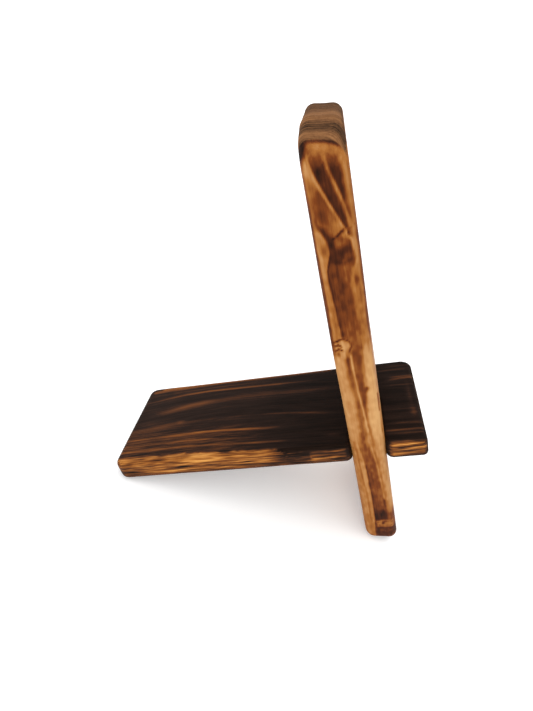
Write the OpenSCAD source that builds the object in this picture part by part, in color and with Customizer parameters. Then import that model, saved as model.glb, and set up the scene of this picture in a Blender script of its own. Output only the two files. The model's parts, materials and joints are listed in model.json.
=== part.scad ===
// Phone stand: two scorched pine boards that cross through matching slots.
// Both boards are laid out square to each other first. Then the pair is leaned
// back until the foot of one board and the tail of the other touch the floor.

/* [Back board] */
// Thickness of the back board
back_t = 18; // [15:0.5:22]
// Length of the back board above the crossing, along its middle
back_above = 158; // [130:1:190]
// Length of the back board below the crossing, along its middle
back_below = 73; // [60:1:90]
// How far out of square both ends are cut, in degrees
end_skew = 8; // [0:0.5:12]
// Radius of the top corner on the worn edge
crown_r = 11; // [6:0.5:14]
// Slope of the top end beside that corner, in degrees
crown_slope = 13; // [6:0.5:16]
// Length of that slope, measured from the worn edge
crown_run = 27; // [20:1:36]
// Radius of the top corner on the other edge
back_top_r = 3; // [2:0.5:10]
// Radius of the foot's corner on the worn edge
foot_r = 6.5; // [3:0.5:12]
// Radius of the foot's corner on the other edge
foot_far_r = 5; // [3:0.5:12]
// Rounding along the arrises of the back board
back_arris = 4; // [1.5:0.5:5]

/* [Base board] */
// Thickness of the base board
base_t = 12; // [10:0.5:16]
// Length of the base board behind the crossing
base_behind = 146; // [120:1:180]
// Length of the base board in front of the crossing
base_front = 30; // [26:1:50]
// Radius of the tail's corner on the open-slot edge
tail_r = 6.5; // [3:0.5:14]
// Radius of the tail's corner on the other edge
tail_far_r = 5.5; // [3:0.5:14]
// Radius of the ledge's corner on the open-slot edge
ledge_r = 3; // [3:0.5:10]
// Radius of the ledge's corner on the other edge
ledge_far_r = 10; // [3:0.5:14]
// Rounding along the arrises of the base board
base_arris = 2.5; // [1:0.5:4]

/* [Joint] */
// Width of both boards
board_w = 73; // [66:1:84]
// Gap left round the crossing board on every side
slot_gap = 0.2; // [0.1:0.05:0.4]
// Radius of the mouth of the base board's slot
base_mouth_r = 3.5; // [1:0.5:6]
// Radius of the mouth of the back board's slot
back_mouth_r = 2; // [1:0.5:5]

/* [Hidden] */
$fn = 96;

// Longer than any board, for prisms that only trim in the other two directions
past = 600;
slot_depth = board_w / 2 + slot_gap;

// In the side view, v runs along the base board and u runs up the back board.
// An end face of the back board is the line u = height - skew_rise * v.
skew_rise = tan(end_skew);
function end_arris_centre(side, height, inward) =
    let (v = side * (back_t / 2 - back_arris))
    [v, height - skew_rise * v + inward * back_arris / cos(end_skew)];
// From an end arris's centre to its end face. It stops a hair short of the face,
// so that the straight edges and the round corners cross cleanly.
tuck = 0.002;
end_reach = (back_arris - tuck) * [sin(end_skew), cos(end_skew)];

// Both resting arrises are round, so the floor is the line that touches both.
foot_touch = end_arris_centre(-1, -back_below, 1);
tail_touch = [-base_behind + base_arris, -base_t / 2 + base_arris];
touch_gap = foot_touch - tail_touch;
lean = asin((back_arris - base_arris) / norm(touch_gap)) - atan2(touch_gap[1], touch_gap[0]);
lift = back_arris - foot_touch[0] * sin(lean) - foot_touch[1] * cos(lean);

// The footprint's ends: the tail's upper arris and the foot's front arris
tail_top = [tail_touch[0], -tail_touch[1]];
foot_front = end_arris_centre(1, -back_below, 1);
x_low = tail_top[0] * cos(lean) - tail_top[1] * sin(lean) - base_arris;
x_high = foot_front[0] * cos(lean) - foot_front[1] * sin(lean) + back_arris;

// Puts a board from the square layout into the leaning stand, centred on the floor
module stand_frame() {
    translate([-(x_low + x_high) / 2, -board_w / 2, lift])
        rotate([0, -lean, 0])
            children();
}

// Rectangle with its own radius at each corner, counter-clockwise from [x0, y0]
module rounded_plate(x0, x1, y0, y1, radii) {
    corners = [
        [x0 + radii[0], y0 + radii[0]],
        [x1 - radii[1], y0 + radii[1]],
        [x1 - radii[2], y1 - radii[2]],
        [x0 + radii[3], y1 - radii[3]]
    ];
    polygon([
        [x0, corners[0][1]],
        [corners[0][0], y0],
        [corners[1][0], y0],
        [x1, corners[1][1]],
        [x1, corners[2][1]],
        [corners[2][0], y1],
        [corners[3][0], y1],
        [x0, corners[3][1]]
    ]);
    for (i = [0:3])
        translate(corners[i]) circle(r = radii[i]);
}

// Slot from the edge at x = 0, centred on y = 0, with its mouth rounded over
module mouthed_slot(width, depth, mouth_r) {
    translate([-1, -width / 2]) square([depth + 1, width]);
    for (side = [-1, 1])
        translate([0, side * width / 2])
            difference() {
                translate([-1, -mouth_r]) square([mouth_r + 1, 2 * mouth_r]);
                translate([mouth_r, side * mouth_r]) circle(r = mouth_r);
            }
}

// Broad face of the back board: x across the board, y along it
module back_face() {
    top = back_above * cos(end_skew);
    foot = -back_below * cos(end_skew);
    // The worn corner's circle touches the long edge and the slope beside it.
    crown_y = top - (crown_run - crown_r) * tan(crown_slope) - crown_r / cos(crown_slope);
    polygon([
        [0, foot + foot_r],
        [foot_r, foot],
        [board_w - foot_far_r, foot],
        [board_w, foot + foot_far_r],
        [board_w, top - back_top_r],
        [board_w - back_top_r, top],
        [crown_run, top],
        [crown_r * (1 - sin(crown_slope)), crown_y + crown_r * cos(crown_slope)],
        [0, crown_y]
    ]);
    translate([foot_r, foot + foot_r]) circle(r = foot_r);
    translate([board_w - foot_far_r, foot + foot_far_r]) circle(r = foot_far_r);
    translate([board_w - back_top_r, top - back_top_r]) circle(r = back_top_r);
    translate([crown_r, crown_y]) circle(r = crown_r);
}

// Edge of the back board, with both ends out of square: x through it, y along it
module back_edge() {
    half = back_t / 2;
    foot_rear = end_arris_centre(-1, -back_below, 1);
    top_front = end_arris_centre(1, back_above, -1);
    top_rear = end_arris_centre(-1, back_above, -1);
    polygon([
        [-half, foot_rear[1]],
        foot_rear - end_reach,
        foot_front - end_reach,
        [half, foot_front[1]],
        [half, top_front[1]],
        top_front + end_reach,
        top_rear + end_reach,
        [-half, top_rear[1]]
    ]);
    for (centre = [foot_rear, foot_front, top_front, top_rear])
        translate(centre) circle(r = back_arris);
}

module back_board() {
    color([0.72, 0.47, 0.24])
        stand_frame()
            difference() {
                intersection() {
                    // The broad face, carried through along the skewed ends
                    rotate([0, end_skew, 0])
                        rotate([90, 0, 90])
                            linear_extrude(height = past, center = true) back_face();
                    // The edge view, carried across the board
                    rotate([90, 0, 0])
                        linear_extrude(height = past, center = true) back_edge();
                    // The cross-section, carried along the board
                    linear_extrude(height = past, center = true)
                        rounded_plate(-back_t / 2, back_t / 2, 0, board_w,
                            [back_arris, back_arris, back_arris, back_arris]);
                }
                // Slot for the base board, open at the far edge
                translate([0, board_w, 0])
                    mirror([0, 1, 0])
                        rotate([90, 0, 90])
                            linear_extrude(height = 2 * back_t, center = true)
                                mouthed_slot(base_t + 2 * slot_gap, slot_depth, back_mouth_r);
            }
}

module base_board() {
    arrises = [base_arris, base_arris, base_arris, base_arris];
    color([0.17, 0.12, 0.10])
        stand_frame()
            difference() {
                intersection() {
                    // The broad face, carried through
                    linear_extrude(height = 2 * base_t, center = true)
                        rounded_plate(-base_behind, base_front, 0, board_w,
                            [tail_r, ledge_r, ledge_far_r, tail_far_r]);
                    // The edge view, carried across the board
                    rotate([90, 0, 0])
                        linear_extrude(height = past, center = true)
                            rounded_plate(-base_behind, base_front, -base_t / 2, base_t / 2, arrises);
                    // The cross-section, carried along the board
                    rotate([90, 0, 90])
                        linear_extrude(height = past, center = true)
                            rounded_plate(0, board_w, -base_t / 2, base_t / 2, arrises);
                }
                // Slot for the back board, open at the near edge
                linear_extrude(height = 2 * base_t, center = true)
                    rotate(90)
                        mouthed_slot(back_t + 2 * slot_gap, slot_depth, base_mouth_r);
            }
}

back_board();
base_board();
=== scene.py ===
import itertools
import json
import math

import bpy
import numpy as np
from mathutils import Matrix, Vector


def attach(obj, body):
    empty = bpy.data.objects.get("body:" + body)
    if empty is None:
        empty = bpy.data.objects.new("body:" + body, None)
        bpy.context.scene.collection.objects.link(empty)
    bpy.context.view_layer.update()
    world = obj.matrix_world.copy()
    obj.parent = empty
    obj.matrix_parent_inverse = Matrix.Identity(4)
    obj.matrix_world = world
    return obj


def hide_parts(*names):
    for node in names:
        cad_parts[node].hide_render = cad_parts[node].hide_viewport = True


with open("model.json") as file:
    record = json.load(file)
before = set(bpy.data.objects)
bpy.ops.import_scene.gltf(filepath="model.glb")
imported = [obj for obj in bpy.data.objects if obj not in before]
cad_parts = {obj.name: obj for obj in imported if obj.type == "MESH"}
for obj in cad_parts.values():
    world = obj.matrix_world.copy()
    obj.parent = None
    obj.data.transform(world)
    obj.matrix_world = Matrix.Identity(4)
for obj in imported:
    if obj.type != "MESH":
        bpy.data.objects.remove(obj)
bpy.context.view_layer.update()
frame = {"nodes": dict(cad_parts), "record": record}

# ---------------------------------------------------------------------------
# The camera stands close in front of the boards' near edges, a little above
# the top of the stand, and is tipped to one side.
# ---------------------------------------------------------------------------
camera_place = Vector((-0.02346, -0.21959, 0.23625))
camera_aim = Vector((-0.01521, 0.02823, 0.06738))
camera_tip = math.radians(15.25)

camera = bpy.data.objects.new("camera", bpy.data.cameras.new("camera"))
bpy.context.scene.collection.objects.link(camera)
camera.data.lens = 24.17
camera.data.sensor_width = 36.0
camera.data.clip_start = 0.01
level = (camera_aim - camera_place).to_track_quat("-Z", "Y").to_matrix().to_4x4()
camera.matrix_world = Matrix.Translation(camera_place) @ level @ Matrix.Rotation(camera_tip, 4, "Z")
bpy.context.scene.camera = camera

# ---------------------------------------------------------------------------
# Back board. A length of planed pine, slotted half way across from its far
# edge, sanded round by hand, scorched with a torch until its growth rings stood
# out brown, then oiled. The base board's slot grips it.
# ---------------------------------------------------------------------------
MM = 1000.0
mounts = {mount["name"]: mount for mount in frame["record"]["mounts"]}
# The boards are square to each other: v runs along the base board towards the
# phone, y across both boards from their near edges, u up the back board.
board_axes = np.array([mounts["backrest"]["axis"], [0.0, 1.0, 0.0], mounts["ledge"]["axis"]])


def reach(node):
    """Lowest and highest place of a CAD node along the board axes, in millimetres."""
    corners = np.zeros(len(frame["nodes"][node].data.vertices) * 3)
    frame["nodes"][node].data.vertices.foreach_get("co", corners)
    along_axes = corners.reshape(-1, 3) @ board_axes.T * MM
    return along_axes.min(0), along_axes.max(0)


back_low, back_high = reach("back_board")
base_low, base_high = reach("base_board")
# The crossing is the middle of both thicknesses, on the near edges.
crossing = np.array([(back_low[0] + back_high[0]) / 2, back_low[1], (base_low[2] + base_high[2]) / 2])
board_w = back_high[1] - back_low[1]
back_half = (back_high[0] - back_low[0]) / 2
base_half = (base_high[2] - base_low[2]) / 2
slot_gap = 0.2
slot_depth = board_w / 2 + slot_gap


def smooth(x, start, end):
    """Eased step: 0 before start, 1 after end, level at both."""
    t = np.clip((x - start) / (end - start), 0, 1)
    return t * t * (3 - 2 * t)


def drift(points, size, seed):
    """Smooth random values from -1 to 1: random numbers on a lattice of the given cell
    size, blended between the eight lattice corners round each point."""
    side = 32
    start = seed * 7.3
    lattice = np.random.default_rng(seed).uniform(-1, 1, (side, side, side))
    place = points / np.array(size, float) + start
    cell = np.floor(place).astype(int)
    part = smooth(place - cell, 0, 1)
    value = np.zeros(len(points))
    for corner in itertools.product((0, 1), repeat=3):
        share = np.prod(np.where(corner, part, 1 - part), axis=1)
        i, j, k = ((cell + corner) % side).T
        value += share * lattice[i, j, k]
    return value


def stations(*runs):
    """Places along a board from runs of (start, end, step), each run divided evenly."""
    spans = [np.linspace(start, end, round((end - start) / step) + 1) for start, end, step in runs]
    return np.unique(np.round(np.concatenate(spans), 6))


def sawn_board(along, across, through, slot_half):
    """Skin of a block of cells less the cells of its slot, which opens at across = 0.
    A face stands wherever a full cell meets an empty one. Gives points and quads."""
    middle_a, middle_c = ((s[1:] + s[:-1]) / 2 for s in (along, across))
    full = (np.abs(middle_a)[:, None] > slot_half) | (middle_c > slot_depth)
    full = np.pad(np.repeat(full[:, :, None], len(through) - 1, axis=2), 1)
    count = [len(along), len(across), len(through)]
    quads = []
    for axis in range(3):
        step = np.diff(full.astype(int), axis=axis)
        inner = [slice(1, -1)] * 3
        inner[axis] = slice(None)
        first, second = (axis + 1) % 3, (axis + 2) % 3
        for way in (-1, 1):
            start = np.argwhere(step[tuple(inner)] == -way)
            ring = [start.copy() for _ in range(4)]
            ring[1][:, first] += 1
            ring[2][:, [first, second]] += 1
            ring[3][:, second] += 1
            corners = [np.ravel_multi_index(r.T, count) for r in ring[::way]]
            quads.append(np.stack(corners, axis=1))
    used, quads = np.unique(np.concatenate(quads), return_inverse=True)
    i, j, k = np.unravel_index(used, count)
    return np.stack([along[i], across[j], through[k]], axis=1), quads.reshape(-1, 4)


def plan_inset(points, low, high, corner_r):
    """How far each point lies inside a rectangle with rounded corners, and the way out.
    corner_r[i][j] is the radius at the low or high end along, low or high end across."""
    low, high = np.array(low, float), np.array(high, float)
    offset = points[:, :2] - (low + high) / 2
    end = (offset > 0).astype(int)
    radius = np.array(corner_r, float)[end[:, 0], end[:, 1]]
    past = np.abs(offset) - ((high - low) / 2 - radius[:, None])
    outside = np.maximum(past, 0)
    length = np.hypot(*outside.T)
    inset = radius - length - np.minimum(past.max(1), 0)
    nearer = np.where((past[:, 0] > past[:, 1])[:, None], [1.0, 0.0], [0.0, 1.0])
    way = np.where((length > 1e-9)[:, None], outside / np.maximum(length, 1e-9)[:, None], nearer)
    return inset, way * np.where(end == 1, 1.0, -1.0)


def ease_arrises(points, blocks, half, arris):
    """Rounds a sawn board over. A point nearer than the arris radius both to a broad face
    and to the outline is drawn onto a round of that radius. Every other point of the edge
    is drawn onto the outline. The outline is that of the block the point is deepest in.
    Gives the eased points and the outward direction at each."""
    insets, ways = zip(*(plan_inset(points, *block) for block in blocks))
    deepest = np.argmax(insets, axis=0)
    inset = np.array(insets)[deepest, np.arange(len(points))]
    way = np.array(ways)[deepest, np.arange(len(points))]
    depth = half - np.abs(points[:, 2])
    to_edge = np.maximum(arris - inset, 0)
    to_face = np.maximum(arris - depth, 0)
    length = np.maximum(np.hypot(to_edge, to_face), 1e-9)
    on_arris = (to_edge > 0) & (to_face > 0)
    on_edge = (to_edge > 0) & ~on_arris
    new_inset = np.where(on_arris, arris - arris * to_edge / length, np.where(on_edge, 0, inset))
    new_depth = np.where(on_arris, arris - arris * to_face / length, depth)
    side = np.sign(points[:, 2])
    eased = points.copy()
    eased[:, :2] -= way * (new_inset - inset)[:, None]
    eased[:, 2] = side * (half - new_depth)
    outward = np.zeros_like(points)
    outward[:, :2] = way * np.where(on_arris, to_edge / length, on_edge)[:, None]
    outward[:, 2] = side * np.where(on_arris, to_face / length, ~on_edge)
    return eased, outward


def near_slot(points, slot_half):
    """1 at the slot's walls, fading to 0 over the 5 mm round them."""
    round_it = 5
    beside = 1 - smooth(np.abs(points[:, 0]) - slot_half, 0, round_it)
    behind = 1 - smooth(points[:, 1] - slot_depth, 0, round_it)
    return beside * behind * smooth(points[:, 1], 0, round_it)


def grain_line(at, *points):
    """Where a grain line lies at each place: straight runs between points given as
    (place, height), averaged over 4 mm so that its bends are round."""
    x, y = np.array(sorted(points), float).T
    return sum(np.interp(at + shift, x, y) for shift in (-2, -1, 0, 1, 2)) / 5


def between(place, low, high, soft_low=0.4, soft_high=0.4):
    """1 between two lines, with its own softness at each."""
    return smooth(place - low, -soft_low, soft_low) * smooth(high - place, -soft_high, soft_high)


def on_line(place, line, width):
    """1 on a grain line, falling away as a bell of the given half width."""
    return np.exp(-(((place - line) / width) ** 2))


def trace(x, y, width, *points):
    """1 on a line drawn through points, falling away as a bell of the given half width."""
    nearest = np.full(len(x), 1e9)
    for (x0, y0), (x1, y1) in zip(points[:-1], points[1:]):
        run, rise = x1 - x0, y1 - y0
        t = np.clip(((x - x0) * run + (y - y0) * rise) / (run * run + rise * rise), 0, 1)
        nearest = np.minimum(nearest, np.hypot(x - x0 - t * run, y - y0 - t * rise))
    return np.exp(-((nearest / width) ** 2))


def spot(x, y, x0, y0, width, height):
    """1 at a point, falling away as a bell that is wider one way than the other."""
    return np.exp(-(((x - x0) / width) ** 2) - ((y - y0) / height) ** 2)


def blend(first, second, share):
    """The first tone where share is 0, the second where it is 1."""
    return first + (second - first) * share


class Scorch:
    """How brown each point is, from 0 for bare wood to 1 for black. Each touch of the
    torch moves the points that it covers towards its own tone. The places of the touches
    are in board millimetres."""

    def __init__(self, tone):
        self.tone = tone

    def touch(self, tone, share):
        self.tone = blend(self.tone, tone, share)


def back_near_edge(v, u):
    """Figure of the back board's near edge, where a saw cut met the growth rings almost
    flat: flames at the top, a brown heart down the middle, a knot, and a burnt foot."""
    ground = grain_line(u, (-73, 0.36), (-40, 0.3), (0, 0.24), (20, 0.13), (60, 0.13), (72, 0.42),
                        (100, 0.38), (112, 0.24), (122, 0.36), (153, 0.38))
    wood = Scorch(ground - 0.011 * v * smooth(62 - u, 0, 20))
    # Flames below the crown, each dark inside one pale ridge
    first = grain_line(u, (152, -7.6), (146, -6.2), (140, -4.2), (134, -2), (128, 0.3), (123, 2.6),
                       (119.5, 4.2))
    second = grain_line(u, (153, -1.2), (148, -0.2), (142, 1.4), (136, 3.2), (130, 4.8), (124, 6.2),
                        (119, 6.6))
    third = grain_line(u, (153, 3), (150, 4.2), (145, 5.3), (138, 5.7), (130, 5.9), (124, 6.4))
    flames = smooth(u, 118, 121)
    wood.touch(0.33, spot(v, u, -1.5, 150.5, 3, 2.4))
    left_field = between(v, -6.6, first - 0.1, 2, 0.6) * smooth(u, 119, 124) * (1 - smooth(u, 130, 147))
    wood.touch(0.71, left_field)
    wood.touch(0.16, spot(v, u, -7, 147, 1.8, 6))
    near_flame = between(v, first + 0.9, second - 0.5, 0.5, 1.3) * flames * (1 - smooth(u, 142.5, 153))
    wood.touch(0.92 - 0.08 * np.clip((v - first) / (second - first), 0, 1), near_flame)
    far_flame = between(v, second + 0.7, third + 0.5, 0.5, 1.4) * smooth(u, 121, 126)
    wood.touch(0.88 - 0.12 * smooth(v - second, 2, 6), far_flame * (1 - smooth(u, 141, 152)))
    # The pale ridges are paler hard grain with a painted highlight of the raised ridge on top.
    wood.touch(0.3, on_line(v, first, 0.55) * flames * 0.9)
    wood.touch(0.42, on_line(v, second, 0.5) * flames * 0.9)
    # Healed break across the grain under the flames
    heart_left = grain_line(u, (126, -7.2), (122.5, -6), (118.5, -4), (115, -2.8), (110, -3), (106, -4.5),
                            (103, -5.3), (95, -5), (85, -4.3), (75, -3.5), (71, -3.5))
    heart_right = grain_line(u, (118, 6.5), (113, 6), (108, 7), (104, 5), (100, 3.8), (95, 3.5), (88, 3.6),
                             (80, 4.2), (70, 4.5), (60, 4))
    wood.touch(0.3, between(u, 104, 121) * (1 - smooth(v, heart_left - 0.5, heart_left + 0.3)) * 0.85)
    wood.touch(0.56, spot(v, u, -5.1, 112.3, 1.5, 2.6))
    break_top = grain_line(v, (-4, 116.6), (-2.5, 116.8), (4, 120.2), (6, 121))
    over_break = between(u, break_top, 124, 0.4, 2.5) * between(v, heart_left + 0.6, first - 1, 0.5, 1.6)
    wood.touch(0.56, over_break * 0.9)
    beside_ridge = between(v, first - 3.2, first + 0.3, 1.6, 0.4) * between(u, break_top, 129, 0.4, 6)
    wood.touch(0.42, beside_ridge * 0.75)
    wood.touch(0.94, between(v, heart_left, heart_left + 1.8, 0.35, 1.8) * between(u, 115, 122.6, 1, 1.4))
    in_heart = between(v, heart_left, heart_right, 0.4, 0.8)
    wood.touch(0.62, between(u, 104, break_top, 1, 0.4) * in_heart)
    ember_low = grain_line(v, (-4, 107), (-1, 106), (1, 105.3), (4.5, 105), (6, 109))
    wood.touch(0.8, between(u, ember_low, 113.6, 1.2, 1.4) * between(v, heart_left, 5.6, 0.5, 0.6))
    wood.touch(1.0, spot(v, u, -2.2, 114.8, 1.2, 2.6))
    wood.touch(0.93, spot(v, u, 4.6, 107.6, 1, 1.2) * 0.8)
    wood.touch(0.92, spot(v, u, -0.9, 107.8, 1.3, 1) * 0.7)
    wood.touch(0.55, spot(v, u, 1.8, 107.2, 0.8, 0.9) * 0.7)
    wood.touch(0.52, spot(v, u, 0.8, 114.8, 1.3, 2))
    wood.touch(0.8, spot(v, u, 5.3, 114.3, 0.9, 1.4) * 0.9)
    wood.touch(0.38, spot(v, u, 3.4, 117.4, 1.4, 1.3))
    wood.touch(0.55, spot(v, u, 4.2, 109, 1, 2) * 0.6)
    wood.touch(0.95, spot(v, u, 1.2, 110.6, 1.6, 1.3) * 0.9)
    wood.touch(0.8, spot(v, u, 2.5, 115.8, 0.5, 1.6) * 0.6)
    wood.touch(0.24, trace(v, u, 0.7, (4.4, 119), (5.1, 117.3), (6.3, 115.6), (6.6, 112)))
    wood.touch(0.9, trace(v, u, 0.45, (-2.5, 116.6), (1, 118.2), (3.6, 119.9)))
    wood.touch(0.86, spot(v, u, 5.3, 118.6, 0.45, 0.9))
    wood.touch(0.62, trace(v, u, 0.25, (5.2, 119.8), (9, 122)) * 0.5)
    # Heart
    heart = between(v, heart_left, heart_right, 0.35, 1.2) * between(u, 60, ember_low + 0.5, 5, 1)
    wood.touch(0.62 + 0.05 * smooth(u, 78, 88), heart)
    wood.touch(0.8, spot(v, u, 1, 90, 2.2, 8) * heart * 0.6)
    wood.touch(0.78, spot(v, u, -3, 80, 1.1, 10) * heart * 0.6)
    wood.touch(0.5, spot(v, u, 1.8, 101, 0.6, 5) * heart * 0.7)
    wood.touch(0.52, spot(v, u, 3, 69, 2, 7) * heart * 0.7)
    wood.touch(0.64, spot(v, u, 6, 98.5, 1.3, 2) * 0.9)
    left_line = on_line(v, heart_left, 0.4 + 0.4 * smooth(u, 113, 119))
    wood.touch(0.9, left_line * between(u, 71, 122.5, 0.4, 2.4) * 0.85)
    # Knot
    wood.touch(0.62, trace(v, u, 1.3, (0, 70.5), (2, 66.5), (0.8, 62)) * 0.8)
    wood.touch(0.1, spot(v, u, -3.6, 67, 2.9, 3.6))
    knot_rim = trace(v, u, 0.4, (-5, 70.5), (-3, 70.8), (-1.2, 69.2), (-0.5, 66.5), (-1.6, 63.8))
    wood.touch(0.78, knot_rim * 0.95)
    wood.touch(0.9, trace(v, u, 0.45, (-8.8, 68.6), (-7, 69.3), (-5.4, 70.2)))
    wood.touch(0.85, trace(v, u, 0.45, (-7.8, 66.6), (-6.2, 67.6), (-4.8, 66.8)))
    wood.touch(0.82, trace(v, u, 0.45, (-8, 64.2), (-6.4, 65.2), (-4.4, 64.8)))
    wood.touch(0.66, spot(v, u, -7, 62.5, 1.2, 1.4) * 0.7)
    # Pale waist between the knot and the crossing
    ridge = grain_line(u, (62, -1.2), (50, -0.8), (40, -0.3), (30, 0.3), (20, 1), (10, 2), (5, 2.2))
    ridge_shade = between(v, ridge, ridge + 1.4 + 3.6 * smooth(u, 22, 58), 0.3, 1.8)
    wood.touch(0.62, ridge_shade * between(u, 3, 63, 3, 2))
    wood.touch(0.68, trace(v, u, 1.5, (-3, 59.5), (-2.6, 52), (-2.2, 44)) * smooth(u, 32, 56))
    wood.touch(0.54, trace(v, u, 1.9, (-2.4, 50), (-1.4, 34), (-1.2, 12), (-1.6, 4)) * 0.95)
    wood.touch(0.76, trace(v, u, 1.2, (1, 36.5), (2, 39), (3.6, 42)) * 0.95)
    wood.touch(0.68, spot(v, u, 1.5, 34.5, 1.4, 5.5) * 0.9)
    wood.touch(0.1, on_line(v, ridge, 0.45) * between(u, 4, 62, 2, 1) * 0.85)
    wood.touch(0.62, trace(v, u, 1.3, (-2.2, 14), (-1.6, 2)) * smooth(24 - u, 0, 14) * 0.8)
    wood.touch(0.66, trace(v, u, 0.3, (8, 37), (8.1, 27)) * 0.8)
    wood.touch(0.5, trace(v, u, 0.8, (-6.8, 8), (-5.6, -4)) * 0.7)
    # Below the crossing
    brown_left = grain_line(u, (14, -5.2), (5, -4.5), (-5, -3.2), (-15, -2.5), (-30, -2.2), (-50, -2.3),
                            (-62, -3.1))
    brown_right = grain_line(u, (12, 1), (5, 1.5), (-5, 3), (-15, 3.5), (-25, 4.5), (-40, 5), (-50, 5))
    under = smooth(10 - u, 0, 8)
    wood.touch(0.58, between(v, brown_left, brown_right, 0.35, 1.6) * under)
    wood.touch(0.86, on_line(v, brown_left + 0.3, 0.4) * smooth(-u, 0, 16) * 0.75)
    wood.touch(0.74, between(v, brown_left, brown_left + 2.4, 0.3, 2) * under * smooth(-u, 8, 40) * 0.8)
    wood.touch(0.46, between(v, brown_right, brown_right + 1.3, 0.3, 1.2) * smooth(18 - u, 0, 10) * 0.8)
    pale_strip = between(v, brown_right + 1.8, brown_right + 3.6, 0.8, 1.5)
    wood.touch(0.22, pale_strip * under * (1 - smooth(-u, 38, 46)))
    pale_line = on_line(v, brown_right, 0.45) * smooth(10 - u, 0, 6)
    wood.touch(0.24, pale_line * (1 - smooth(-u, 36, 43)) * 0.8)
    wood.touch(0.5, trace(v, u, 0.4, (3.2, 0), (4.6, -20), (5.2, -38)) * 0.6)
    wood.touch(0.55, trace(v, u, 0.35, (-6, -5), (-4.6, -30), (-4.4, -55)) * 0.7)
    wood.touch(0.78, trace(v, u, 0.4, (-0.6, -14), (0.6, -30), (0.8, -44)) * 0.6)
    wood.touch(0.5, trace(v, u, 0.6, (2.2, -20), (3, -34), (3.2, -42)) * 0.6)
    # Burnt foot
    wood.touch(0.72, between(v, 6.2, 12, 1.2) * smooth(-u, 40, 52) * 0.85)
    wood.touch(0.93, between(v, -2.3, 5.2, 0.6, 1.8) * between(-u, 44.5, 53.5, 4.5, 1))
    wood.touch(0.76, trace(v, u, 0.7, (4.6, -37), (4.6, -46)) * 0.8)
    wood.touch(0.83, between(v, brown_left, 12, 0.4) * between(-u, 59.5, 80, 1.2))
    wood.touch(0.56, trace(v, u, 1, (-1.5, -69), (3, -69.8), (8, -68.5)) * 0.8)
    wood.touch(0.66, trace(v, u, 0.6, (0, -63.5), (4, -64.3), (7, -63)) * 0.6)
    ring = between(v, -1.8, 8, 0.7, 1) * between(-u, 54.3, 60.2, 0.6, 0.8)
    wood.touch(0.42, ring)
    wood.touch(0.75, trace(v, u, 0.35, (-1, -55.4), (8, -55.8)) * ring * 0.8)
    wood.touch(0.7, trace(v, u, 0.3, (-0.5, -58.4), (7, -58.8)) * ring * 0.8)
    wood.touch(0.98, spot(v, u, 2.3, -56.8, 0.9, 0.8))
    # Both arrises browned by the flame
    left_arris = between(v, -12, -7.9, 0.5, 0.5) * smooth(u, 54, 70)
    wood.touch(0.78, left_arris * (0.85 - 0.4 * smooth(u, 122, 138)))
    wood.touch(0.62, between(v, 8.2, 12, 0.5) * (1 - smooth(-u, 0, 20)) * 0.45)
    wood.touch(0.72, between(v, 8, 12, 0.5) * between(u, 66, 118, 6, 3) * 0.7)
    return wood.tone


def growth_rings(depth, spacing):
    """0 in the soft early wood, rising to 1 in the narrow late wood at each ring's end."""
    part = np.mod(depth / spacing, 1)
    return smooth(part, 0.3, 0.86) * (1 - smooth(part, 0.9, 1))


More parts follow.
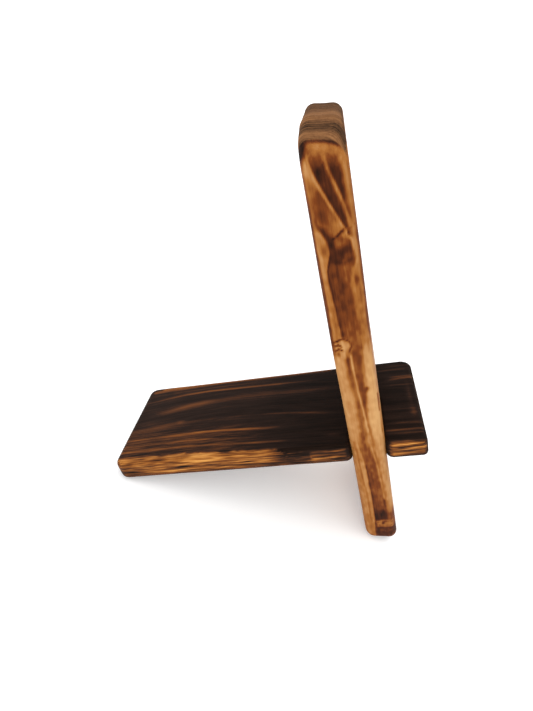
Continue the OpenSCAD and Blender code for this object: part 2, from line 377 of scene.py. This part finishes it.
def back_figure(points, outward):
    """Scorch, end grain, bend of the rings and raggedness of the back board. The rings lie
    across it, so its broad faces show straight bands, its end shows rings, and its near
    edge has the flame figure."""
    v, y, u = points.T
    # The near edge's marks waver a little, as grain does
    wander = points.copy()
    wander[:, 0] += 0.3 * drift(points, (3, 6, 9), 1) + 0.12 * drift(points, (1, 3, 3.5), 2)
    wander[:, 2] += 0.7 * drift(points, (2.2, 6, 5), 12)
    # Broad faces: bands where the rings come out, spaced unevenly and wavering. A drift
    # hardly changes in a direction whose cell is even_way long.
    even_way = 400
    band_width = 5.6
    ring_depth = y + 0.012 * (v + 3) ** 2 + 2.2 * drift(points, (even_way, even_way, 90), 3)
    ring_depth += 0.5 * drift(points, (12, 12, 34), 4) + 1.7 * drift(points, (even_way, 10, even_way), 14)
    band_depth = 0.7 + 0.45 * drift(points, (12, 9, 45), 5)
    sides = 0.2 + 0.42 * growth_rings(ring_depth, band_width) * band_depth
    sides += 0.14 * drift(points, (20, 14, 38), 6) + 0.3 * smooth(-u, 48, 66)
    near = 1 - smooth(y + 0.8 * drift(points, (5, 5, 9), 7), 3.4, 6.6)
    tone = blend(sides, back_near_edge(wander[:, 0], wander[:, 2]), near)
    # End grain: the crown's starts behind a curved line, and its rings turn down at the
    # right-hand side. The tones run from the near edge back.
    crown_edge = grain_line(v, (-9, 5.8), (-6, 6.3), (-3, 6.6), (0, 6.6), (4, 6), (6, 5), (8, 3.4), (9, 2.6))
    at_top = u > 100
    crown = smooth(y - crown_edge, -0.35, 0.55) * smooth(outward[:, 2], 0.2, 0.5) * at_top
    foot = smooth(-outward[:, 2], 0.6, 0.85)
    turn_down = grain_line(y, (4, 0), (10, 0.5), (17, 3.5), (26, 5.2), (73, 6.5))
    bent = y + 0.13 * np.maximum(v - turn_down, 0) ** 2 + 0.5 * drift(points, (4, 5, 50), 8)
    end_bands = (
        (4, 0.48), (7, 0.46), (9, 0.44), (10, 0.26), (11.5, 0.44), (14, 0.68), (16, 0.8), (18, 0.76),
        (20.5, 0.6), (24, 0.42), (30, 0.33), (38, 0.42), (44, 0.6), (50, 0.7), (58, 0.66), (66, 0.74),
        (73, 0.7),
    )
    ends = np.interp(bent, *np.transpose(end_bands))
    ring_width = np.where(y > 42, 3.6, 2.1)
    ends += 0.2 * (growth_rings(bent, ring_width) - 0.4) + 0.05 * drift(points, (0.9, 0.5, 50), 9)
    tone = blend(tone, ends, np.maximum(crown, foot * 0.7))
    # A painted shade line lies just under the edge of the end grain. The flame blackened that edge at its
    # left corner.
    painted_crown_shade = on_line(y, crown_edge - 0.3, 0.9) * smooth(u, 146, 149) * (1 - smooth(v, 5, 8))
    tone += 0.34 * painted_crown_shade
    black_corner = spot(v, y, -8, 4.6, 2.5, 2.4) * smooth(u, 145, 149)
    tone = blend(tone, 1, np.clip(1.25 * black_corner, 0, 1))
    tone += 0.3 * foot
    # Fine streaks of the grain
    tone += 0.04 * drift(points, (0.45, 0.6, 16), 10) + 0.04 * drift(points, (1.3, 1.5, 34), 11)
    tone += 0.09 * near * drift(points, (1.4, 2, 2.6), 13)
    right_arris = smooth(outward[:, 0], 0.7, 0.9) * (1 - smooth(outward[:, 0], 0.97, 0.999))
    tone = blend(tone, 0.8, right_arris * smooth(u, 148, 151) * (1 - smooth(y, 58, 70)) * 0.7)
    return np.clip(tone, 0, 1), np.maximum(crown, foot), (bent - y) * crown, 0.8 - 0.5 * near


back_top = 158.2
back_foot = -73.0
end_skew = math.tan(math.radians(8))
crown_fall = math.tan(math.radians(13))
slot_half = base_half + slot_gap
# Rows of points lie closer together at the ends, the edges and the slot. One row of each
# board lies along the bottom of its slot.
slot_row = 36.7
back_length = stations((back_foot, -66, 0.5), (-66, -8.2, 0.85), (-8.2, -slot_half, 0.4),
                       (-slot_half, slot_half, 1), (slot_half, 8.2, 0.4), (8.2, 146, 0.8),
                       (146, back_top, 0.5))
back_width = stations((0, 4.5, 0.5), (4.5, 34.7, 1.25), (34.7, slot_row, 0.5), (slot_row, 38.7, 0.5),
                      (38.7, 65, 1.25), (65, 73, 0.45))
back_thickness = stations((-back_half, -5, 0.4), (-5, 5, 0.5), (5, back_half, 0.4))
# Across the board is counted from its far edge here, where its slot opens. Each block is
# its low corner, its high corner and the radii of its four corners.
back_blocks = (
    ([slot_half, 0], [back_top, board_w], [[2, 0], [3, 11]]),
    ([back_foot, 0], [-slot_half, board_w], [[5, 6.5], [2, 0]]),
    ([back_foot, slot_depth], [back_top, board_w], [[0, 6.5], [0, 11]]),
)
points, back_quads = sawn_board(back_length, back_width, back_thickness, slot_half)
along, across, through = points.T
# The arris is sanded rounder at the foot and at the crown's far left corner.
arris = 4.3 + 0.72 * smooth(-along, 55, 70) + 0.3 * drift(points, (30, 12, 12), 20)
arris += 1.6 * smooth(along, 138, 152) * smooth(-through, -2, 4) * (1 - smooth(across, 45, 62))
arris -= 2.8 * near_slot(points, slot_half)
least_arris = 1.0
points, outward = ease_arrises(points, back_blocks, back_half, np.maximum(arris, least_arris))
# Into the board axes: through becomes v, across counts from the near edge, along becomes u
back_points = np.stack([points[:, 2], board_w - points[:, 1], points[:, 0]], axis=1)
back_outward = np.stack([outward[:, 2], -outward[:, 1], outward[:, 0]], axis=1)
v, y, u = back_points.T
# Both ends are cut askew, so that they are higher on the left. The crown also falls away
# over its near 27 mm. The board has bowed and swollen slightly to the left.
top_end = smooth(u, 120, 146)
fall = crown_fall * np.maximum(27 - y, 0) * smooth(u, 120, 148)
back_points[:, 2] -= fall + end_skew * v * (top_end + smooth(-u, 44, 64)) + 0.07 * np.minimum(v, 0) * top_end
back_points[:, 0] -= 0.45 * on_line(u, 62, 26)
back_points[:, 0] -= 0.3 * on_line(u, 98, 24) * smooth(-v, 0, 9)
back_wood = back_figure(back_points, back_outward)


def in_frame(points):
    """Board millimetres to metres in the shared frame."""
    return (points + crossing) @ board_axes / MM


def build_board(name, points, quads, figure):
    """A closed board mesh. Its points carry the four values of its figure: its scorch, its
    end grain, how far the rings bend aside, and how ragged the burn is."""
    mesh = bpy.data.meshes.new(name)
    mesh.from_pydata(in_frame(points), [], quads.tolist())
    for label, values in zip(("scorch", "end_grain", "bend", "ragged"), figure):
        attribute = mesh.attributes.new(label, "FLOAT", "POINT")
        attribute.data.foreach_set("value", values.astype(np.float32))
    mesh.shade_smooth()
    mesh.update()
    board = bpy.data.objects.new(name, mesh)
    bpy.context.scene.collection.objects.link(board)
    return board


class Wire:
    """A shader socket that takes part in sums: each operator adds a Math node."""

    def __init__(self, tree, socket=None):
        self.tree = tree
        self.socket = socket

    def node(self, kind, settings, values, out=0):
        """Adds a node, sets it up, then sets or links its sockets. Gives one output."""
        made = self.tree.nodes.new(kind)
        stops = settings.pop("stops", ())
        for name, value in settings.items():
            setattr(made, name, value)
        if stops:
            ramp = made.color_ramp.elements
            for _ in stops[2:]:
                ramp.new(0.5)
            for element, (place, colour) in zip(ramp, stops):
                element.position = place
                element.color = colour
        for name, value in values.items():
            if isinstance(value, Wire):
                self.tree.links.new(value.socket, made.inputs[name])
            else:
                made.inputs[name].default_value = value
        return Wire(self.tree, made.outputs[out])

    def math(self, operation, first, second):
        return self.node("ShaderNodeMath", {"operation": operation}, {0: first, 1: second})

    def __add__(self, other):
        return self.math("ADD", self, other)

    def __sub__(self, other):
        return self.math("SUBTRACT", self, other)

    def __rsub__(self, other):
        return self.math("SUBTRACT", other, self)

    def __mul__(self, other):
        return self.math("MULTIPLY", self, other)

    __radd__ = __add__
    __rmul__ = __mul__


def tint(red, green, blue):
    """A display colour from 0 to 255 as the light values that a shader takes."""
    channel = np.array([red, green, blue]) / 255
    linear = np.where(channel > 0.04045, ((channel + 0.055) / 1.055) ** 2.4, channel / 12.92)
    return (*linear, 1.0)


def scorched_pine(name, long_way, tones, end_tones, dullness):
    """Oiled, scorched pine. Its colour runs through tones from bare wood to black by the
    board's own scorch, broken up by fine grain that is long one way: the board axis
    long_way. End grain has tones of its own and is duller."""
    material = bpy.data.materials.new(name)
    material.use_nodes = True
    tree = material.node_tree
    tree.nodes.clear()
    wire = Wire(tree)
    place = wire.node("ShaderNodeTexCoord", {}, {}, out="Object")
    lean = math.atan2(board_axes[0][2], board_axes[0][0])
    in_mm = wire.node("ShaderNodeMapping", {"vector_type": "TEXTURE"}, {
        "Vector": place,
        "Location": tuple(crossing @ board_axes / MM),
        "Rotation": (0, -lean, 0),
        "Scale": (1 / MM, 1 / MM, 1 / MM),
    })
    scorch = wire.node("ShaderNodeAttribute", {"attribute_name": "scorch"}, {}, out="Fac")
    end_grain = wire.node("ShaderNodeAttribute", {"attribute_name": "end_grain"}, {}, out="Fac")
    ragged = wire.node("ShaderNodeAttribute", {"attribute_name": "ragged"}, {}, out="Fac")
    bend = wire.node("ShaderNodeAttribute", {"attribute_name": "bend"}, {}, out="Fac")
    aside = wire.node("ShaderNodeCombineXYZ", {}, {"Y": bend})
    bent_place = wire.node("ShaderNodeVectorMath", {"operation": "ADD"}, {0: in_mm, 1: aside})

    def grain(across, length, detail, sideways=None):
        """Noise from -0.5 to 0.5 in cells of the given size in millimetres."""
        cells = [1 / across] * 3
        cells[long_way] = 1 / length
        cells[2 - long_way] = 1 / (sideways or across)
        stretched = wire.node("ShaderNodeVectorMath", {"operation": "MULTIPLY"}, {0: bent_place, 1: cells})
        noise = wire.node("ShaderNodeTexNoise", {}, {"Vector": stretched, "Scale": 1.0, "Detail": detail})
        return noise - 0.5

    fibres = grain(0.42, 12, 3.0)
    streaks = grain(0.9, 26, 3.0)
    flecks = grain(0.5, 1.6, 2.0)
    blotches = grain(3.5, 14, 3.0)
    rings = grain(0.5, 60, 3.0, 16)
    depth = scorch + ragged * (0.45 * fibres + 0.24 * streaks)
    depth = depth + 0.08 * flecks + 0.12 * blotches + 1.4 * rings * end_grain
    long_colour = wire.node("ShaderNodeValToRGB", {"stops": tones}, {"Fac": depth})
    end_colour = wire.node("ShaderNodeValToRGB", {"stops": end_tones}, {"Fac": depth})
    # A Mix node takes its share at input 0 and its two colours at 6 and 7.
    shares = {0: end_grain, 6: long_colour, 7: end_colour}
    colour = wire.node("ShaderNodeMix", {"data_type": "RGBA"}, shares, out=2)
    roughness = dullness + 0.16 * scorch + 0.25 * streaks + 0.4 * end_grain
    bump = wire.node("ShaderNodeBump", {}, {
        "Strength": 0.25,
        "Distance": 0.0003,
        "Height": fibres + 0.6 * streaks,
    })
    surface = wire.node("ShaderNodeBsdfPrincipled", {}, {
        "Base Color": colour,
        "Roughness": roughness,
        "Specular IOR Level": 0.06,
        "Specular Tint": (1.0, 0.75, 0.55, 1.0),
        "Normal": bump,
    })
    output = tree.nodes.new("ShaderNodeOutputMaterial")
    tree.links.new(surface.socket, output.inputs["Surface"])
    return material


back_board = build_board("back_board_wood", back_points, back_quads, back_wood)
back_board.data.materials.append(scorched_pine(
    "honey_scorched_pine",
    long_way=2,
    tones=((0, tint(197, 151, 98)), (0.2, tint(177, 127, 77)), (0.4, tint(153, 96, 43)),
           (0.6, tint(113, 57, 23)), (0.8, tint(72, 34, 18)), (1, tint(34, 18, 13))),
    end_tones=((0, tint(153, 108, 68)), (0.4, tint(121, 82, 52)), (0.75, tint(83, 57, 37)),
               (1, tint(32, 22, 16))),
    dullness=0.42,
))
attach(back_board, "back")
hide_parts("back_board")

# ---------------------------------------------------------------------------
# Base board. The same pine, thinner, with its slot cut from the near edge. Its
# broad faces are burnt nearly black and brushed, which leaves the hard grain
# brown. The near edge is only browned. It slides into the back board's slot.
# ---------------------------------------------------------------------------


def streak(x, y, width, *points):
    """A trace that fades away over the outer third of its length at each end."""
    start, end = points[0][0], points[-1][0]
    fade = (end - start) / 3
    return trace(x, y, width, *points) * smooth(x, start, start + fade) * (1 - smooth(x, end - fade, end))


def base_near_edge(v, u):
    """Figure of the base board's near edge: orange pine with dark streaks along it,
    charred beside the slot."""
    # Paler patches of the tail
    wood = Scorch(0.33 + 0.08 * (1 - smooth(v, -125, -112)))
    wood.touch(0.14, spot(v, u, -140, 6.6, 4, 1.6) * 0.8)
    wood.touch(0.18, spot(v, u, -131, 4, 4, 0.9) * 0.8)
    wood.touch(0.42, between(v, -128, -98, 8, 5) * between(u, 2, 7, 1, 1) * 0.6)
    wood.touch(0.18, spot(v, u, -89, 4.8, 8, 1.6) * 0.8)
    # Dark streaks along the upper half, from the tail to the slot
    wood.touch(0.8, streak(v, u, 0.5, (-160, 2.4), (-137, 2.4), (-126, 1.6)))
    wood.touch(0.92, streak(v, u, 1, (-165, -0.8), (-138, -0.8), (-124, -0.3)))
    wood.touch(0.62, streak(v, u, 0.45, (-136, 1.2), (-118, 0.6), (-104, 1.8)) * 0.9)
    wood.touch(0.66, streak(v, u, 0.4, (-131, 3), (-120, 3.2), (-106, 2.7)) * 0.9)
    wood.touch(0.85, streak(v, u, 0.8, (-122, 0.1), (-108, 0.6), (-101, 1), (-90, 0.7)))
    wood.touch(0.9, spot(v, u, -103, 0.7, 3.4, 0.6))
    wood.touch(0.6, streak(v, u, 0.45, (-126, 5), (-114, 5.2), (-102, 4.3)) * 0.8)
    wood.touch(0.7, streak(v, u, 0.5, (-116, 6.6), (-102, 7), (-88, 6.4)) * 0.9)
    wood.touch(0.7, streak(v, u, 0.5, (-94, 7.4), (-84, 6.8), (-74, 6.4)) * 0.8)
    wood.touch(0.66, streak(v, u, 0.4, (-98, 2.6), (-80, 2.8), (-58, 2)) * 0.9)
    wood.touch(0.6, streak(v, u, 0.45, (-84, 5.4), (-70, 5.4), (-52, 4.6)) * 0.9)
    wood.touch(0.7, streak(v, u, 0.4, (-78, 3.9), (-64, 3.6), (-48, 3.2)) * 0.8)
    wood.touch(0.66, streak(v, u, 0.4, (-96, 1.8), (-84, 0.9), (-70, 1.2), (-56, 0.8)) * 0.8)
    # The longest streak, and what lies under it
    wood.touch(0.95, streak(v, u, 0.9, (-104, 0.6), (-86, 0), (-72, -1.1), (-58, -2), (-30, -2.6)))
    wood.touch(0.55, streak(v, u, 0.5, (-132, -1.8), (-108, -2.6), (-84, -2)) * 0.8)
    wood.touch(0.6, streak(v, u, 0.4, (-118, -3.2), (-96, -3.6), (-72, -3)) * 0.8)
    wood.touch(0.85, between(u, -8, -3.2, 1, 0.9) * smooth(v, -85, -50) * 0.85)
    wood.touch(0.62, between(u, -8, -4.2, 1, 0.5) * 0.8)
    # Charred towards the slot, with a browned panel left in it
    char = smooth(v + 0.7 * np.abs(u - 2), -57, -40)
    wood.touch(0.93, char * (1 - smooth(v, 9, 13)))
    wood.touch(0.5, streak(v, u, 0.4, (-60, 4.6), (-46, 4.2), (-36, 4)) * 0.8)
    wood.touch(0.5, streak(v, u, 0.45, (-62, 2.2), (-48, 1.4), (-39, 0.8)) * 0.9)
    wood.touch(0.5, streak(v, u, 0.4, (-60, -0.2), (-48, -0.9), (-38, -1.3)) * 0.9)
    wood.touch(0.72, between(v, -46, -29, 3, 2) * between(u, -3.4, 4.8, 1, 0.8) * 0.6)
    panel = between(v, -29.6, -11, 0.5, 2.4) * between(u, -3.8, 4.5, 0.8, 0.5)
    wood.touch(0.5, panel * 0.9)
    wood.touch(0.12, streak(v, u, 0.45, (-42, 3.6), (-20, 3.7), (-4, 3.5)) * panel)
    wood.touch(0.8, streak(v, u, 0.35, (-34, 2.5), (-20, 2.4), (-8, 2.6)) * panel * 0.9)
    wood.touch(0.16, streak(v, u, 0.45, (-42, 1.4), (-20, 1.2), (-4, 1.3)) * panel)
    wood.touch(0.9, streak(v, u, 0.45, (-36, 0.4), (-22, 0.2), (-10, 0.4)) * panel)
    wood.touch(0.2, streak(v, u, 0.4, (-40, -0.9), (-22, -1), (-7, -0.9)) * panel)
    wood.touch(0.85, streak(v, u, 0.4, (-30, -1.9), (-18, -2.2), (-8, -2)) * panel * 0.9)
    wood.touch(0.95, between(v, -17, -8, 2, 1) * between(u, -4, 0.4, 1, 1) * 0.6)
    wood.touch(0.3, spot(v, u, -30.2, 1.2, 0.4, 3.6) * 0.7)
    # Ledge
    wood.touch(0.66, smooth(v, 11.5, 18))
    wood.touch(0.36, streak(v, u, 0.5, (9, 4.5), (19, 4.1), (31, 4.4)) * 0.9)
    wood.touch(0.8, streak(v, u, 0.4, (4, 3.1), (19, 2.8), (33, 3)) * 0.9)
    wood.touch(0.28, streak(v, u, 0.7, (14, 1), (24, 1.5), (38, 1.3)) * 0.95)
    wood.touch(0.75, streak(v, u, 0.35, (10, 0.3), (22, -0.3), (34, 0)) * 0.9)
    wood.touch(0.34, streak(v, u, 0.6, (11, -2.1), (18, -1.7), (27, -1.9)) * 0.9)
    wood.touch(0.8, streak(v, u, 0.5, (4, -0.6), (14, -0.6), (20, -0.9)) * 0.9)
    wood.touch(0.85, between(u, -8, -3, 1, 0.8) * 0.7)
    return wood.tone


def base_top(v, y):
    """Figure of the base board's top: near black, with a painted sheen towards the tail,
    brown lines of hard grain that arch along it, and the worn patches of the ledge."""
    # Painted sheen: browner towards the tail and over the part by the near edge
    wood = Scorch(0.85 + 0.09 * smooth(v, -75, -30))
    wood.touch(0.73, spot(v, y, -128, 30, 26, 20) * 0.5)
    wood.touch(0.73, between(y, 6, 22, 3, 3) * (1 - smooth(v, -90, -50)) * 0.7)
    # Worn far arris, and the lines beside it
    worn_arris = trace(v, y, 1.5, (-141, 67.6), (-125, 68.6), (-100, 70), (-70, 70.8), (-20, 70.8))
    wood.touch(0.5, worn_arris * 0.9)
    wood.touch(0.3, trace(v, y, 0.9, (-135, 70), (-100, 71.4), (-60, 71.8), (-12, 71.8)) * 0.9)
    far_line = streak(v, y, 0.8, (-170, 50), (-143, 56), (-130, 59), (-115, 61.5), (-100, 62.5), (-40, 62),
                      (-8, 61))
    wood.touch(0.6, far_line)
    wood.touch(0.46, streak(v, y, 0.7, (-132, 59.6), (-100, 62.6), (-66, 62.5)) * 0.8)
    wood.touch(0.74, streak(v, y, 0.9, (-150, 61), (-120, 64.6), (-90, 66), (-50, 66)) * 0.7)
    # Broad soft lines of the middle, and the black between them
    wood.touch(0.62, streak(v, y, 2.6, (-140, 41), (-122, 45), (-108, 49), (-86, 51.6)) * 0.9)
    wood.touch(0.52, streak(v, y, 1, (-126, 45.4), (-108, 49.4), (-92, 51)) * 0.6)
    wood.touch(0.72, streak(v, y, 2.6, (-120, 50), (-75, 53), (-40, 52), (5, 50)) * 0.65)
    wood.touch(0.96, between(y, 35, 47, 2.5, 3) * smooth(v, -90, -50) * 0.6)
    wood.touch(0.92, between(y, 35, 43, 3, 3) * 0.4)
    wood.touch(0.66, streak(v, y, 2.4, (-160, 22), (-132, 28.4), (-120, 32), (-104, 34)) * 0.7)
    wood.touch(0.5, spot(v, y, -113, 33.2, 2.6, 1.3) * 0.75)
    wood.touch(0.7, streak(v, y, 0.9, (-120, 33), (-90, 33.4), (-50, 32.4)) * 0.6)
    wood.touch(0.62, streak(v, y, 0.9, (-72, 33.2), (-45, 32), (-30, 30), (-8, 27)) * 0.8)
    # Fine lines of the near third
    third_line = streak(v, y, 1, (-190, 17), (-144, 19.8), (-100, 21.6), (-80, 21.5), (-60, 20.5), (-30, 18))
    wood.touch(0.58, third_line * 0.95)
    wood.touch(0.38, streak(v, y, 0.6, (-130, 20.7), (-96, 21.9), (-74, 21.4), (-44, 19.8)) * 0.8)
    wood.touch(0.66, streak(v, y, 0.6, (-180, 15), (-140, 17.2), (-100, 19), (-60, 18)) * 0.8)
    second_line = streak(v, y, 0.8, (-190, 10), (-143, 13.4), (-120, 14.8), (-100, 15.5), (-85, 14.8),
                         (-60, 13.6))
    wood.touch(0.58, second_line * 0.9)
    wood.touch(0.36, streak(v, y, 0.5, (-124, 15.2), (-98, 15.6), (-78, 14.6)) * 0.8)
    first_line = streak(v, y, 0.8, (-190, 7.6), (-143, 9.5), (-120, 10.4), (-100, 11), (-80, 10.5),
                        (-58, 9.4))
    wood.touch(0.5, first_line * 0.85)
    wood.touch(0.7, streak(v, y, 0.6, (-190, 10), (-143, 11.6), (-110, 13), (-80, 12.6), (-50, 12)) * 0.7)
    wood.touch(0.62, streak(v, y, 0.7, (-70, 9.2), (-54, 8.8), (-40, 8.2)) * 0.9)
    wood.touch(0.68, spot(v, y, -18, 9.8, 4, 1.2) * 0.7)
    # Ledge
    wood.touch(0.74, streak(v, y, 0.9, (4, 63), (18, 63.2), (34, 63)) * 0.7)
    wood.touch(0.54, streak(v, y, 1.3, (10, 52.4), (22, 53.6), (40, 53.8)) * 0.8)
    wood.touch(0.6, streak(v, y, 0.7, (12, 55.4), (22, 55.8), (40, 56)) * 0.7)
    wood.touch(0.66, streak(v, y, 0.8, (10, 66.5), (20, 67), (40, 67)) * 0.7)
    wood.touch(0.76, streak(v, y, 1, (8, 47), (20, 47.4), (36, 47)) * 0.6)
    wood.touch(0.68, spot(v, y, 26, 23.5, 1.9, 4.5) * 0.8)
    wood.touch(0.72, spot(v, y, 25.5, 39, 1.5, 9) * 0.7)
    wood.touch(0.7, streak(v, y, 0.7, (4, 26), (17, 25.8), (32, 25.4)) * 0.5)
    wood.touch(0.7, streak(v, y, 0.8, (10, 14.6), (21, 14.4), (36, 14)) * 0.7)
    wood.touch(0.58, streak(v, y, 0.8, (4, 9.4), (17, 9.2), (40, 9)) * 0.8)
    wood.touch(0.62, streak(v, y, 0.7, (4, 6.8), (17, 6.6), (40, 6.4)) * 0.8)
    wood.touch(0.94, between(y, 2, 5.2, 0.8, 0.6) * smooth(v, 9, 11) * 0.9)
    return wood.tone


def base_figure(points, outward):
    """Scorch, end grain, bend of the grain and raggedness of the base board. The near
    edge's figure reaches over its upper arris as far as the torch left it, and the rest is
    the burnt faces."""
    v, y, u = points.T
    wander = points.copy()
    wander[:, 1] += 0.35 * drift(points, (14, 3, 6), 31) + 0.15 * drift(points, (5, 1, 3), 32)
    wander[:, 2] += 0.3 * drift(points, (9, 3, 2), 33) + 0.15 * drift(points, (4, 1, 1), 34)
    # Broad faces, with fine grain that arches along the board as their lines do
    top = base_top(v, wander[:, 1])
    arch_along = grain_line(v, (-146, 0), (-118, 0.7), (-88, 1), (-45, 0.85), (-10, 0.4), (30, 0))
    arch = (2 + 6 * smooth(y, 20, 46) - 7 * smooth(y, 58, 72)) * arch_along
    straight = points.copy()
    straight[:, 1] -= arch
    fine_grain = drift(straight, (34, 1.1, 4), 35) + 0.7 * drift(straight, (14, 0.6, 2), 36)
    top += 0.045 * fine_grain
    ring_width = 9
    ring_depth = y - arch + 1.5 * drift(points, (60, 60, 60), 37)
    below = 0.9 - 0.3 * growth_rings(ring_depth, ring_width) + 0.06 * fine_grain
    faces = np.where(u > 0, top, below)
    face_ragged = 0.5 + 1.2 * (1 - smooth(y, 18, 30)) * (1 - smooth(v, -80, -40)) + 0.6 * smooth(y, 62, 68)
    # Near edge
    edge = base_near_edge(v, wander[:, 2])
    edge += 0.15 * drift(wander, (14, 2.5, 0.6), 38) + 0.17 * drift(wander, (6, 2, 0.5), 39)
    reach_above = grain_line(v, (-146, 5.4), (-120, 5.4), (-105, 6.3), (-90, 4.6), (-70, 4), (-50, 3.1),
                             (-43, 1), (-30, 0.2), (-9, 0.2), (12, 0.6), (20, 1.6), (30, 1.4))
    reach_above = reach_above + 0.7 * drift(points, (14, 9, 9), 40) + 0.3 * drift(points, (4, 9, 9), 44)
    reach_below = 0.9
    near = 1 - smooth(y - np.where(u > 0, reach_above, reach_below), -1.4, 0.9)
    near_ragged = 3
    # Far edge, browned and streaked
    far = smooth(y, board_w - 1.6, board_w - 0.2)
    far_tone = 0.45 + 0.3 * drift(points, (30, 4, 1.4), 41) + 0.2 * drift(points, (12, 3, 0.7), 42)
    tone = blend(blend(faces, far_tone, far), edge, near)
    # Ends of the tail and the ledge
    clear_of_slot = np.abs(v) > 15
    ends = smooth(np.abs(outward[:, 0]), 0.5, 0.8) * clear_of_slot * (1 - near)
    end_tone = 0.78 + 0.12 * growth_rings(y, 4.2) + 0.05 * drift(points, (3, 0.7, 0.7), 43)
    tone = blend(tone, end_tone, ends)
    # The slot's walls, and the skin just round them, are charred, and their near black is also painted shade
    # down in the slot's mouth
    in_slot = (np.abs(v) < 9.6) & (y < slot_depth + 0.3)
    tone = np.where(in_slot, 0.92, tone)
    return np.clip(tone, 0, 1), ends, -arch * (1 - near), blend(face_ragged, near_ragged, near)


base_rear = -146.0
base_front = 30.0
# The slot grips the back board, with no light between them.
grip = 0.01
slot_half = back_half - grip
base_length = stations((base_rear, -140, 0.5), (-140, -13.2, 0.9), (-13.2, -slot_half, 0.5),
                       (-slot_half, slot_half, 1.2), (slot_half, 13.2, 0.5), (13.2, 27, 0.7),
                       (27, base_front, 0.4))
base_width = stations((0, 4, 0.4), (4, 34.7, 0.75), (34.7, slot_row, 0.5), (slot_row, 38.5, 0.5),
                      (38.5, 69, 0.75), (69, board_w, 0.4))
base_thickness = stations((-base_half, base_half, 1 / 3))
base_blocks = (
    ([base_rear, 0], [-slot_half, board_w], [[6.5, 5.5], [3.5, 0]]),
    ([slot_half, 0], [base_front, board_w], [[3.5, 0], [3, 6.8]]),
    ([base_rear, slot_depth], [base_front, board_w], [[0, 5.5], [0, 6.8]]),
)
points, base_quads = sawn_board(base_length, base_width, base_thickness, slot_half)
arris = 2.8 + 0.25 * drift(points, (22, 12, 12), 50) - 1.5 * near_slot(points, slot_half)
least_arris = 0.8
base_points, base_outward = ease_arrises(points, base_blocks, base_half, np.maximum(arris, least_arris))
base_wood = base_figure(base_points, base_outward)

base_board = build_board("base_board_wood", base_points, base_quads, base_wood)
base_board.data.materials.append(scorched_pine(
    "dark_burnt_pine",
    long_way=0,
    tones=((0, tint(206, 147, 76)), (0.2, tint(180, 118, 55)), (0.45, tint(126, 73, 32)),
           (0.65, tint(82, 48, 28)), (0.82, tint(38, 25, 20)), (1, tint(15, 9, 7))),
    end_tones=((0, tint(120, 84, 56)), (0.5, tint(84, 58, 42)), (0.8, tint(44, 32, 28)),
               (1, tint(26, 17, 16))),
    dullness=0.45,
))
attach(base_board, "base")
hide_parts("base_board")

# ---------------------------------------------------------------------------
# Studio. A plain pale floor under soft white light from all round, with one
# wide lamp in front of the boards' near edges and one above them.
# ---------------------------------------------------------------------------
floor_half = 30.0
floor_mesh = bpy.data.meshes.new("floor")
floor_corners = [(-floor_half, -floor_half, 0), (floor_half, -floor_half, 0),
                 (floor_half, floor_half, 0), (-floor_half, floor_half, 0)]
floor_mesh.from_pydata(floor_corners, [], [(0, 1, 2, 3)])
floor = bpy.data.objects.new("floor", floor_mesh)
bpy.context.scene.collection.objects.link(floor)
pale = bpy.data.materials.new("pale_floor")
pale.use_nodes = True
pale_shader = pale.node_tree.nodes["Principled BSDF"]
pale_shader.inputs["Base Color"].default_value = (0.94, 0.94, 0.94, 1)
pale_shader.inputs["Roughness"].default_value = 0.9
pale_shader.inputs["Specular IOR Level"].default_value = 0.1
pale_shader.inputs["Emission Color"].default_value = (1, 1, 1, 1)
pale_shader.inputs["Emission Strength"].default_value = 0.25
floor.data.materials.append(pale)

world = bpy.data.worlds.new("studio")
bpy.context.scene.world = world
world.use_nodes = True
# White at the horizon, where the floor ends, and dimmer overhead
sky = Wire(world.node_tree)
direction = sky.node("ShaderNodeTexCoord", {}, {}, out="Generated")
height = sky.node("ShaderNodeSeparateXYZ", {}, {0: direction}, out="Z")
sky_tones = ((0.2, (1.9, 1.9, 1.9, 1)), (0.4, (1, 1, 1, 1)))
sky_colour = sky.node("ShaderNodeValToRGB", {"stops": sky_tones}, {"Fac": height})
world.node_tree.links.new(sky_colour.socket, world.node_tree.nodes["Background"].inputs["Color"])
world.node_tree.nodes["Background"].inputs["Strength"].default_value = 0.56


def soft_lamp(name, towards, strength, spread):
    """Even light from one side of the studio, as from a wide soft box far away."""
    lamp = bpy.data.objects.new(name, bpy.data.lights.new(name, "SUN"))
    lamp.data.energy = strength
    lamp.data.angle = math.radians(spread)
    lamp.rotation_euler = Vector(towards).to_track_quat("Z", "Y").to_euler()
    bpy.context.scene.collection.objects.link(lamp)


soft_lamp("lamp_front", (-0.45, -1.1, 1.0), 1.1, 50)
soft_lamp("lamp_top", (0.1, 0.2, 1.6), 1.5, 60)
bpy.context.scene.view_settings.view_transform = "Standard"
